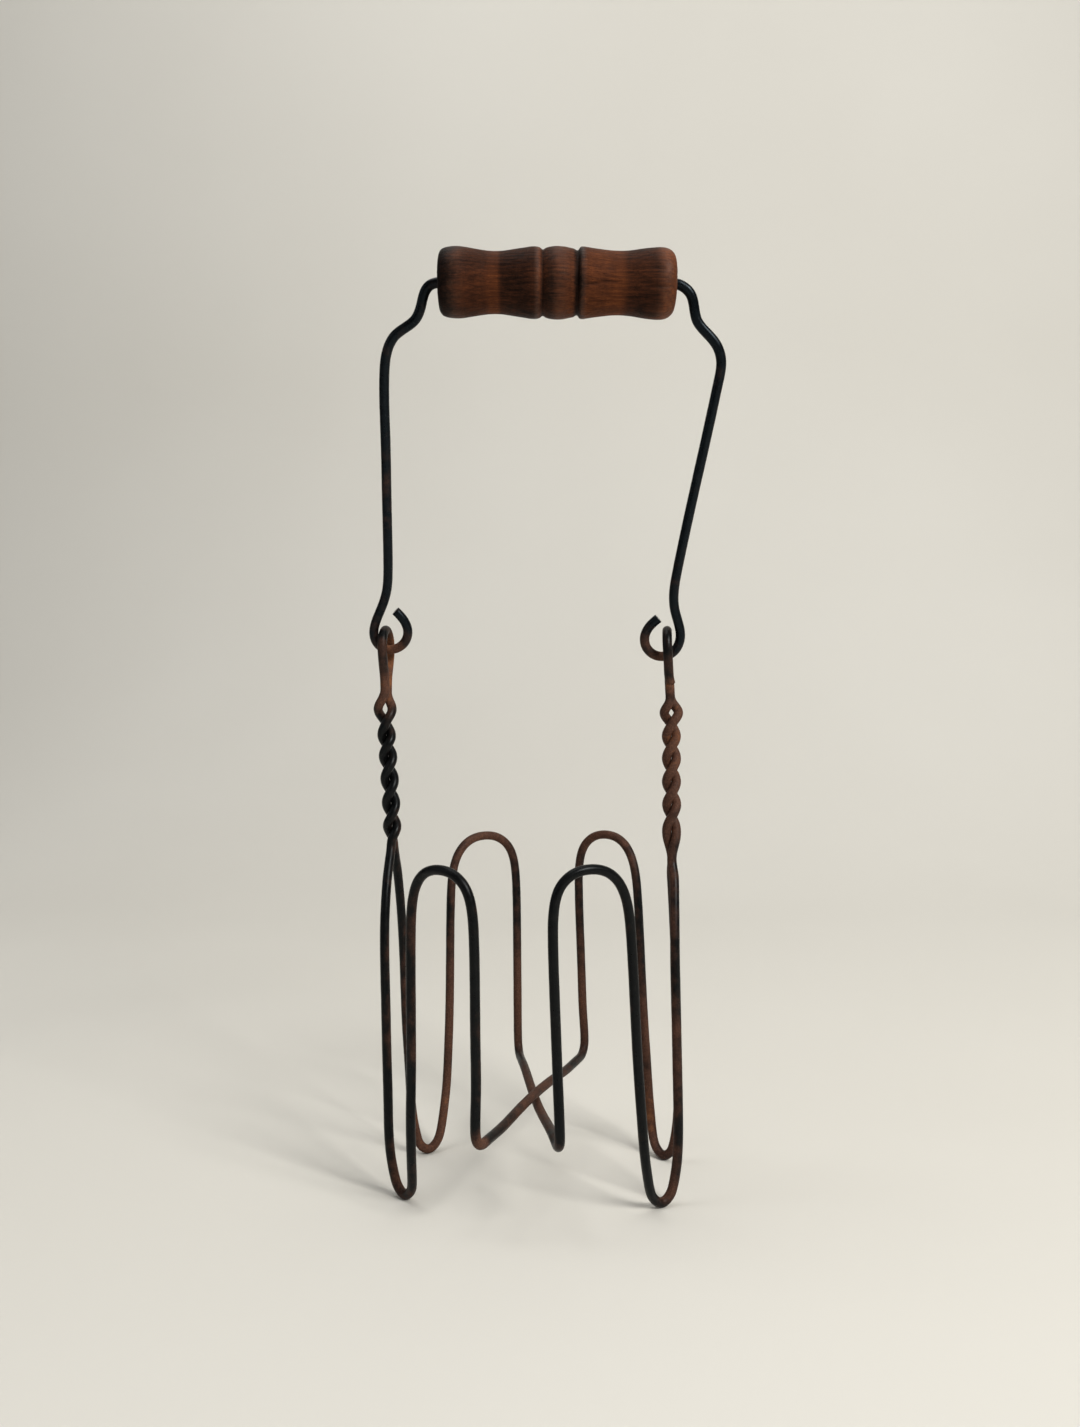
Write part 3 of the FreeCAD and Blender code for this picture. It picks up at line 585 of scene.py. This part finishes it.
def grip_object(material, start, end):
    """The turned grip on the straight run of the bail from start to end."""
    start, end = np.array(start), np.array(end)
    along = (end - start) / np.linalg.norm(end - start)
    across = np.cross(np.array([0.0, 0.0, 1.0]), along)
    across /= np.linalg.norm(across)
    upward = np.cross(along, across)
    rows = grip_rows()
    n = len(rows)
    verts = np.empty((n, GRIP_RING, 3))
    local = np.empty((n, GRIP_RING, 3))
    rubbed_and_highlight, groove_shade, end_face, crack = np.zeros((4, n, GRIP_RING))
    for i, (x, r, kind) in enumerate(rows):
        if kind == "side":
            # lighter bands: partly rubbed wear, partly painted highlight
            rubbed_and_highlight[i] = strongest_band(x, RUBBED_AND_HIGHLIGHT_BANDS)
            groove_shade[i] = strongest_band(x, GROOVE_SHADE_BANDS)
        else:
            end_face[i] = 1.0
            # painted shade inside the bore
            groove_shade[i] = 1.0 if kind == "bore" else 0.0
        for j in range(GRIP_RING):
            angle = j * 2 * math.pi / GRIP_RING
            c, s = math.cos(angle), math.sin(angle)
            px, pr = x, r
            if kind != "bore":
                out_of_round = noise.noise(Vector((x * 0.045 + 3.1, c * 0.55, s * 0.55)))
                pr += out_of_round * 0.16 * (1.0 if kind == "side" else r / 9.0)
            if kind == "side":
                relief, crack[i, j] = side_relief(x, r, angle, c, s)
                pr += relief
            elif kind == "end":
                sign = -1.0 if x < 10 else 1.0
                px += sign * 0.05 * noise.noise(Vector((c * r * 0.9, s * r * 0.9, x)))
            verts[i, j] = start + along * px + across * (c * pr) + upward * (s * pr)
            local[i, j] = (px, c * pr, s * pr)
    # the last band runs through the bore, so that the solid is closed
    faces = []
    for i in range(n):
        faces += band_faces(i * GRIP_RING, (i + 1) % n * GRIP_RING, GRIP_RING)
    obj = add_mesh("turned_grip", verts.reshape(-1, 3) * MM, faces, material)
    vector_attr(obj, "lp", local)
    float_attr(obj, "rubbed_and_highlight", rubbed_and_highlight)
    float_attr(obj, "groove_shade", groove_shade)
    float_attr(obj, "endface", end_face)
    float_attr(obj, "crack", crack)
    return obj


# ---- materials ------------------------------------------------------------
class Shader:
    """A material around one Principled node; inputs take sockets or plain values."""

    def __init__(self, name):
        self.mat = bpy.data.materials.new(name)
        self.mat.use_nodes = True
        self.tree = self.mat.node_tree
        self.tree.nodes.clear()
        output = self.node("OutputMaterial")
        self.bsdf = self.node("BsdfPrincipled")
        self.tree.links.new(self.bsdf.outputs[0], output.inputs[0])

    def node(self, kind, **inputs):
        """A new node with the named inputs filled."""
        node = self.tree.nodes.new("ShaderNode" + kind)
        for name, value in inputs.items():
            self.put(node.inputs[name], value)
        return node

    def put(self, socket, value):
        if hasattr(value, "is_output"):
            self.tree.links.new(value, socket)
        else:
            socket.default_value = value

    def set(self, name, value):
        self.put(self.bsdf.inputs[name], value)

    def attr(self, name, out="Fac"):
        node = self.node("Attribute")
        node.attribute_name = name
        return node.outputs[out]

    def object_place(self):
        return self.node("TexCoord").outputs["Object"]

    def split(self, vector):
        return self.node("SeparateXYZ", Vector=vector).outputs

    def mapping(self, vector, scale, shift=(0, 0, 0)):
        return self.node("Mapping", Vector=vector, Scale=scale, Location=shift).outputs[0]

    def noise(self, vector, scale, detail, rough, distort=0.0, out="Fac"):
        node = self.node("TexNoise", Vector=vector, Scale=scale, Detail=detail,
                         Roughness=rough, Distortion=distort)
        return node.outputs[out]

    def math(self, operation, a, b=0.0, clamp=False):
        node = self.node("Math")
        node.operation = operation
        node.use_clamp = clamp
        self.put(node.inputs[0], a)
        self.put(node.inputs[1], b)
        return node.outputs[0]

    def plus(self, a, b, clamp=False):
        return self.math("ADD", a, b, clamp)

    def minus(self, a, b):
        return self.math("SUBTRACT", a, b)

    def times(self, a, b):
        return self.math("MULTIPLY", a, b)

    def sway(self, source, amount):
        """A 0 to 1 source centred on zero and scaled."""
        return self.times(self.minus(source, 0.5), amount)

    def ramp(self, fac, stops):
        """Colour ramp; stops are (position, colour)."""
        node = self.node("ValToRGB")
        elements = node.color_ramp.elements
        while len(elements) < len(stops):
            elements.new(0.5)
        for element, (position, colour) in zip(elements, stops):
            element.position = position
            element.color = (*colour, 1.0)
        self.put(node.inputs[0], fac)
        return node.outputs[0]

    def level(self, value, start, end, low=0.0, high=1.0):
        """Smooth step from low to high as the value goes from start to end."""
        node = self.node("MapRange", Value=value)
        node.interpolation_type = "SMOOTHSTEP"
        for name, limit in (("From Min", start), ("From Max", end),
                            ("To Min", low), ("To Max", high)):
            node.inputs[name].default_value = limit
        return node.outputs[0]

    def mix(self, fac, a, b, mode="MIX"):
        node = self.node("Mix")
        node.data_type = "RGBA"
        node.blend_type = mode
        self.put(node.inputs[0], fac)
        for socket, value in ((node.inputs[6], a), (node.inputs[7], b)):
            self.put(socket, value if hasattr(value, "is_output") else (*value, 1.0))
        return node.outputs[2]

    def mix_value(self, fac, a, b):
        node = self.node("Mix")
        node.data_type = "FLOAT"
        self.put(node.inputs[0], fac)
        self.put(node.inputs[2], a)
        self.put(node.inputs[3], b)
        return node.outputs[0]

    def bump(self, height, strength, distance, **normal):
        return self.node("Bump", Height=height, Strength=strength, Distance=distance,
                         **normal).outputs[0]


def wire_material(name, tint, gloss, cool):
    """Old steel wire: black drawn scale, brown bloom, orange rust and pits.
    tint scales the black, gloss lowers its roughness, cool turns it from warm to blue."""
    m = Shader(name)

    def black(warm, blue, scale=tint):
        return tuple((w + (b - w) * cool) * scale for w, b in zip(warm, blue))

    place = m.object_place()
    straight = m.attr("wirep", "Vector")
    rust = m.attr("rust")
    cut = m.attr("cut")
    mid = m.noise(place, scale=420.0, detail=5.0, rough=0.6)
    fine = m.noise(place, scale=2100.0, detail=4.0, rough=0.65)
    drawn = m.noise(m.mapping(straight, (1.6, 1.6, 0.07)), scale=1.6, detail=3.0, rough=0.6)

    # black scale, with slightly paler rubbed streaks along the wire
    scale_colour = m.ramp(m.plus(m.times(mid, 0.6), m.times(drawn, 0.4)), [
        (0.30, black(warm=(0.0022, 0.0025, 0.0027), blue=(0.0015, 0.0023, 0.0031))),
        (0.55, black(warm=(0.0048, 0.0049, 0.0048), blue=(0.0033, 0.0044, 0.0055))),
        (0.78, black(warm=(0.0165, 0.0145, 0.0130), blue=(0.0135, 0.0138, 0.0140)))])
    brown = m.ramp(fine, [(0.28, (0.038, 0.0180, 0.0125)), (0.52, (0.080, 0.0370, 0.0245)),
                          (0.76, (0.135, 0.0660, 0.0430))])
    orange = m.ramp(mid, [(0.32, (0.115, 0.0460, 0.0220)), (0.58, (0.215, 0.0860, 0.0380)),
                          (0.80, (0.300, 0.1350, 0.0650))])

    # how far each covers: bloom first, then rust with small specks
    bloom_edge = m.sway(m.noise(place, scale=260.0, detail=5.0, rough=0.62), 0.85)
    bloom = m.level(m.plus(m.times(rust, 1.15), bloom_edge), start=0.12, end=0.74)
    crust_edge = m.sway(m.noise(place, scale=640.0, detail=5.0, rough=0.7), 1.2)
    crust = m.level(m.plus(rust, crust_edge), start=0.66, end=1.15)
    specks = m.level(m.noise(place, scale=1500.0, detail=3.0, rough=0.6), start=0.66, end=0.74)
    specks = m.times(m.times(specks, 0.45), m.level(rust, start=0.05, end=0.5))
    crust = m.math("MAXIMUM", crust, specks)
    colour = m.mix(bloom, scale_colour, brown)
    colour = m.mix(crust, colour, orange)
    dust = m.level(m.noise(place, scale=3300.0, detail=2.0, rough=0.5), start=0.69, end=0.76)
    colour = m.mix(m.times(dust, 0.16), colour, (0.16, 0.145, 0.125))

    # bare steel on the cut ends
    steel = m.ramp(m.noise(place, scale=1800.0, detail=3.0, rough=0.6),
                   [(0.3, (0.070, 0.064, 0.058)), (0.7, (0.26, 0.245, 0.228))])
    colour = m.mix(m.times(m.level(cut, start=0.5, end=1.0), 0.75), colour, steel)
    m.set("Base Color", colour)

    scale_rough = m.level(mid, start=0.3, end=0.7, low=0.26 - gloss, high=0.42 - gloss)
    rough = m.mix_value(bloom, scale_rough, 0.62)
    rough = m.mix_value(crust, rough, 0.85)
    m.set("Roughness", m.plus(rough, m.sway(drawn, 0.12), clamp=True))
    m.set("Metallic", 0.0)
    m.set("Specular IOR Level", m.mix_value(bloom, 0.14, 0.10))
    sheen = black(warm=(0.88, 0.89, 0.88), blue=(0.66, 0.84, 1.0), scale=1.0)
    m.set("Specular Tint", m.mix(bloom, sheen, (1.0, 0.97, 0.94)))

    # relief: drawing lines, grit that grows with bloom, pits that grow with rust
    height = m.times(drawn, 0.35)
    height = m.plus(height, m.times(fine, m.mix_value(bloom, 0.25, 0.9)))
    cells = m.node("TexVoronoi", Vector=place, Scale=950.0).outputs["Distance"]
    pits = m.level(cells, start=0.0, end=0.35)
    height = m.plus(height, m.times(pits, m.mix_value(rust, 0.10, 0.55)))
    small = m.bump(height, strength=m.mix_value(bloom, 0.30, 0.60), distance=0.00010)
    m.set("Normal", m.bump(mid, strength=0.25, distance=0.00016, Normal=small))
    return m.mat


# Lightness along the grip: (share of its length, grey). The waists are lighter stain.
# The dark left end is partly dark stain, partly painted shade; the dips at the two grooves are
# painted shade.
# The light right end is painted highlight, and the light shoulder left of the first groove is
# partly rubbed wear, partly painted highlight.
GRIP_TONE_WITH_PAINTED_LIGHT = [
    (0.00, 0.02), (0.035, 0.09), (0.085, 0.44), (0.150, 0.42), (0.195, 0.48), (0.215, 0.61),
    (0.250, 0.63), (0.266, 0.34), (0.355, 0.26), (0.405, 0.34), (0.425, 0.58), (0.436, 0.34),
    (0.475, 0.25), (0.503, 0.54), (0.565, 0.60), (0.580, 0.20), (0.598, 0.22), (0.620, 0.56),
    (0.70, 0.62), (0.755, 0.68), (0.778, 0.62), (0.800, 0.41), (0.850, 0.34), (0.915, 0.37),
    (0.952, 0.70), (0.99, 0.66)]
# Stain from darkest to lightest: (tone, colour)
STAIN = [
    (0.00, (0.0075, 0.0042, 0.0032)), (0.20, (0.0260, 0.0115, 0.0070)),
    (0.42, (0.0700, 0.0255, 0.0125)), (0.62, (0.1300, 0.0430, 0.0175)),
    (0.80, (0.2150, 0.0700, 0.0250)), (1.00, (0.3200, 0.1120, 0.0400))]


def wood_material():
    """Brown-stained turned hardwood, grain along the grip, rubbed on its high bands; its colour
    holds painted shade in the grooves and painted highlight on the high bands and the right end.
    """
    m = Shader("stained_wood")
    local = m.attr("lp", "Vector")       # x along the grip, mm, from its left end
    x, y, z = m.split(local)
    groove_shade = m.attr("groove_shade")
    end_face = m.attr("endface")
    rubbed_and_highlight = m.attr("rubbed_and_highlight")

    def grain(scale, detail, rough, distort=0.0, shift=(0, 0, 0), out="Fac"):
        """Noise with its own scale along and across the grip."""
        return m.noise(m.mapping(local, scale, shift), 1.0, detail, rough, distort, out)

    # growth layers: distance from a pith well outside the stick
    warp = m.split(grain((0.012, 0.07, 0.07), detail=3.0, rough=0.5, out="Color"))
    from_pith_y = m.plus(m.plus(y, m.sway(warp[0], 8.0)), 17.0)
    from_pith_z = m.plus(m.plus(z, m.sway(warp[1], 8.0)), m.plus(31.0, m.times(x, 0.05)))
    distance = m.math("SQRT", m.plus(m.times(from_pith_y, from_pith_y),
                                     m.times(from_pith_z, from_pith_z)))
    layer = m.math("FRACT", m.times(distance, 0.85))
    late = m.times(m.level(layer, start=0.35, end=0.95),
                   m.level(layer, start=0.95, end=1.0, low=1.0, high=0.0))

    fibre = grain((0.30, 5.2, 5.2), detail=5.0, rough=0.66, distort=0.25)
    streak = grain((0.07, 1.7, 1.7), detail=4.0, rough=0.62, distort=0.3, shift=(9, 3, 1))
    pore = m.level(grain((0.55, 7.5, 7.5), detail=2.0, rough=0.5, shift=(3, 7, 5)),
                   start=0.60, end=0.70)
    cross = grain((1.5, 0.30, 0.30), detail=3.0, rough=0.6, shift=(1, 2, 4))
    blotch = grain((0.085, 0.12, 0.12), detail=3.0, rough=0.55, distort=0.4, shift=(4, 4, 9))

    # tone: the bands along the grip, with painted shade at the left end and in the grooves and
    # painted highlight at the right end, then each figure with its amount
    share = m.plus(m.math("DIVIDE", x, GRIP_LENGTH), m.sway(fibre, 0.012))
    tone = m.ramp(share, [(position, (grey,) * 3) for position, grey in GRIP_TONE_WITH_PAINTED_LIGHT])
    for figure, amount in ((blotch, 0.60), (streak, 0.62), (fibre, 0.66)):
        tone = m.plus(tone, m.sway(figure, amount))
    tone = m.minus(tone, m.times(late, 0.085))
    tone = m.plus(tone, m.sway(cross, 0.14), clamp=True)

    # stain, then dark pores, checks and ends, painted shade in the grooves and the bore, then
    # pale rubbed wood with painted highlight
    colour = m.ramp(tone, STAIN)
    colour = m.mix(m.times(pore, 0.60), colour, (0.0095, 0.0050, 0.0038))
    crack_depth = m.level(fibre, start=0.30, end=0.60, low=0.95, high=0.45)
    colour = m.mix(m.times(m.attr("crack"), crack_depth), colour, (0.0080, 0.0042, 0.0032))
    # painted shade: the grooves and the bore are darkened
    colour = m.mix(m.times(groove_shade, 0.55), colour, (0.0110, 0.0060, 0.0045))
    end_colour = m.mix(0.5, (0.013, 0.0070, 0.0050), colour)
    colour = m.mix(m.times(end_face, 0.75), colour, end_colour)
    # pale rubbed bands: partly real wear, partly painted highlight
    patches = m.level(grain((0.6, 0.75, 0.75), detail=5.0, rough=0.7), start=0.44, end=0.72)
    rubbed_and_highlit = m.times(rubbed_and_highlight, patches)
    colour = m.mix(m.times(rubbed_and_highlit, 0.42), colour, (0.185, 0.088, 0.048))
    colour = m.mix(1.0, colour, (0.665, 0.620, 0.595), "MULTIPLY")
    m.set("Base Color", colour)

    rough = m.plus(0.50, m.sway(fibre, 0.30))
    rough = m.plus(rough, m.sway(blotch, 0.25))
    rough = m.plus(rough, m.times(pore, 0.20))
    m.set("Roughness", m.plus(rough, m.times(end_face, 0.15), clamp=True))
    m.set("Specular IOR Level", m.plus(0.035, m.times(rubbed_and_highlight, 0.10)))

    # relief: fibres, layers, open pores and fine turning marks
    height = m.plus(m.times(fibre, 0.9), m.times(late, 0.20))
    height = m.minus(height, m.times(pore, 1.1))
    turning = m.math("SINE", m.plus(m.times(x, 13.5), m.times(cross, 5.0)))
    height = m.plus(height, m.times(turning, 0.10))
    small = m.bump(height, strength=0.42, distance=0.00022)
    m.set("Normal", m.bump(blotch, strength=0.35, distance=0.0012, Normal=small))
    return m.mat


def paper_material():
    m = Shader("pale_paper")
    cloud = m.noise(m.object_place(), scale=1.4, detail=3.0, rough=0.5)
    m.set("Base Color", m.ramp(cloud, [(0.35, (0.676, 0.660, 0.612)),
                                       (0.70, (0.724, 0.710, 0.664))]))
    m.set("Roughness", 0.85)
    m.set("Specular IOR Level", 0.2)
    return m.mat


# ---- build the pieces -----------------------------------------------------
basket_mat = wire_material("rusted_wire", tint=0.75, gloss=0.0, cool=0.25)
bail_mat = wire_material("black_wire", tint=0.85, gloss=0.03, cool=1.0)
wood_mat = wood_material()

basket = wire_object("basket_wire_form", cage_path(), basket_mat, CAGE_RUST, rust_base=0.10,
                     rust_seed=2.0, ring=26, seed=0.0, cuts=(0.10, 0.10))
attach(basket, "basket")
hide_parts("cage_wire")

grip_start, grip_end = lean(*GRIP_LEFT), lean(*GRIP_RIGHT)
bail = wire_object("bail_wire_form", bail_path(grip_start, grip_end), bail_mat, BAIL_RUST,
                   rust_base=0.06, rust_seed=7.0, ring=28, seed=5.0, cuts=(0.28, -0.22))
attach(bail, "bail")
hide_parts("bail_wire")

grip = grip_object(wood_mat, grip_start, grip_end)
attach(grip, "grip")
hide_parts("wood_grip")


# ---- stage, in metres -----------------------------------------------------
def sweep():
    """Seamless pale sweep: floor, quarter-round bend and back wall."""
    half_width, bend_y, bend_radius, steps = 2.6, 0.42, 0.55, 24
    rows = [(-1.6, 0.0), (-0.4, 0.0), (0.0, 0.0), (bend_y, 0.0)]
    for k in range(1, steps + 1):
        a = math.radians(90.0 * k / steps)
        rows.append((bend_y + bend_radius * math.sin(a), bend_radius - bend_radius * math.cos(a)))
    rows += [(bend_y + bend_radius, z) for z in (1.2, 2.6)]
    verts = np.array([(x, y, z) for y, z in rows for x in (-half_width, half_width)])
    faces = [(i, i + 1, i + 3, i + 2) for i in range(0, 2 * len(rows) - 2, 2)]
    add_mesh("pale_sweep", verts, faces, paper_material())


def soft_room():
    """World: dim light, but paper-coloured where the camera sees it directly."""
    world = bpy.data.worlds.new("soft_room")
    bpy.context.scene.world = world
    world.use_nodes = True
    nodes, links = world.node_tree.nodes, world.node_tree.links
    background = nodes["Background"]
    background.inputs["Strength"].default_value = 1.0
    rays = nodes.new("ShaderNodeLightPath")
    paper = nodes.new("ShaderNodeValToRGB")
    paper.color_ramp.elements[0].color = (0.065, 0.0665, 0.070, 1.0)
    paper.color_ramp.elements[1].color = (0.600, 0.586, 0.545, 1.0)
    links.new(rays.outputs["Is Camera Ray"], paper.inputs[0])
    links.new(paper.outputs[0], background.inputs[0])


def area(name, place, target, size, power, colour):
    """Rectangular light aimed at the target; power in watts."""
    light = bpy.data.lights.new(name, "AREA")
    light.shape = "RECTANGLE"
    light.size, light.size_y = size
    light.energy = power
    light.color = colour
    obj = bpy.data.objects.new(name, light)
    bpy.context.scene.collection.objects.link(obj)
    obj.location = place
    aim = Vector(target) - Vector(place)
    obj.rotation_euler = aim.to_track_quat("-Z", "Y").to_euler()


def camera():
    """Camera in front of the basket, in a view turned about the z axis."""
    turn, roll, pitch = math.radians(6.85), math.radians(1.30), math.radians(-1.00)
    place = (3.87, -358.1, 156.0)        # mm, before the turn

    def turned(x, y, z):
        c, s = math.cos(turn), math.sin(turn)
        return Vector((x * c - y * s, x * s + y * c, z))

    forward = turned(0.0, math.cos(pitch), math.sin(pitch))
    level = turned(1.0, 0.0, 0.0)
    upright = turned(0.0, -math.sin(pitch), math.cos(pitch))
    right = level * math.cos(roll) - upright * math.sin(roll)
    up = level * math.sin(roll) + upright * math.cos(roll)
    data = bpy.data.cameras.new("camera")
    data.sensor_width = 36.0
    data.lens = 28.25508059
    data.clip_start = 0.01
    obj = bpy.data.objects.new("camera", data)
    scene = bpy.context.scene
    scene.collection.objects.link(obj)
    matrix = Matrix((right, up, -forward)).transposed().to_4x4()
    matrix.translation = turned(*place) * MM
    obj.matrix_world = matrix
    scene.camera = obj
    scene.view_settings.view_transform = "Standard"


sweep()
soft_room()
area("key_window", place=(0.90, -0.78, 0.96), target=(0.0, 0.05, 0.14), size=(0.50, 0.50),
     power=21.0, colour=(1.0, 0.972, 0.925))
area("fill_left", place=(-1.15, -0.55, 0.70), target=(0.0, 0.0, 0.14), size=(0.8, 0.8),
     power=1.6, colour=(0.90, 0.95, 1.0))
area("top_soft", place=(0.0, 0.25, 1.7), target=(0.0, 0.1, 0.1), size=(1.4, 1.1),
     power=5.2, colour=(1.0, 0.99, 0.965))
area("wall_wash", place=(-0.2, -0.1, 1.9), target=(0.0, 0.97, 0.45), size=(1.2, 0.5),
     power=8.2, colour=(1.0, 0.985, 0.96))
camera()
